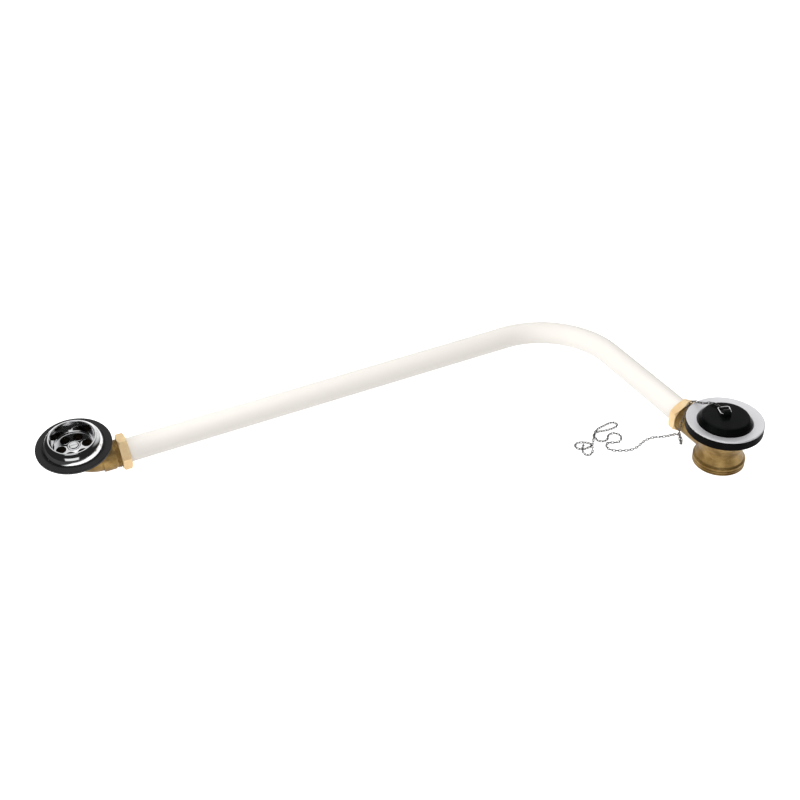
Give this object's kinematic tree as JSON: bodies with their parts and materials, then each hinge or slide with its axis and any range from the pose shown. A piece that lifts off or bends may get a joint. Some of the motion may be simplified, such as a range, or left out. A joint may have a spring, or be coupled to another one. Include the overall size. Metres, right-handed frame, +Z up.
{
  "type": "bath waste and overflow",
  "caption": "Bath plug waste with rubber plug and chain, joined by a bent tube to an overflow elbow with a holed bowl.",
  "frame": {"origin": "centre of the outlet bore at its mouth, on the plane the waste stands on", "axes": "+Z up along the waste's axis; +Y along the side inlet, the way the pipe leaves the waste"},
  "size_m": [0.6117, 0.3229, 0.0588],
  "materials": {
    "cast_brass": "rough cast, dulled",
    "turned_brass": "machined, satin",
    "chrome": "polished plate",
    "black_rubber": "moulded, low sheen",
    "white_plastic": "smooth, slight sheen"
  },
  "bodies": {
    "root": {"waste_flange": "chrome", "waste_seal": "black_rubber", "waste_body": "cast_brass", "waste_screw": "turned_brass", "waste_plug": "black_rubber", "plug_shackle": "chrome", "waste_nut": "turned_brass", "waste_slip_ring": "turned_brass", "waste_cone_ring": "black_rubber", "pipe_short_leg": "white_plastic", "pipe_bend": "white_plastic", "pipe_long_leg": "white_plastic", "overflow_nut": "turned_brass", "overflow_slip_ring": "turned_brass", "overflow_cone_ring": "black_rubber", "overflow_elbow": "cast_brass", "overflow_washer": "black_rubber", "overflow_rose": "chrome", "overflow_screw": "chrome", "chain_drop": "chrome", "chain_run": "chrome", "chain_loops": "chrome", "chain_heap": "chrome"}
  },
  "joints": []
}
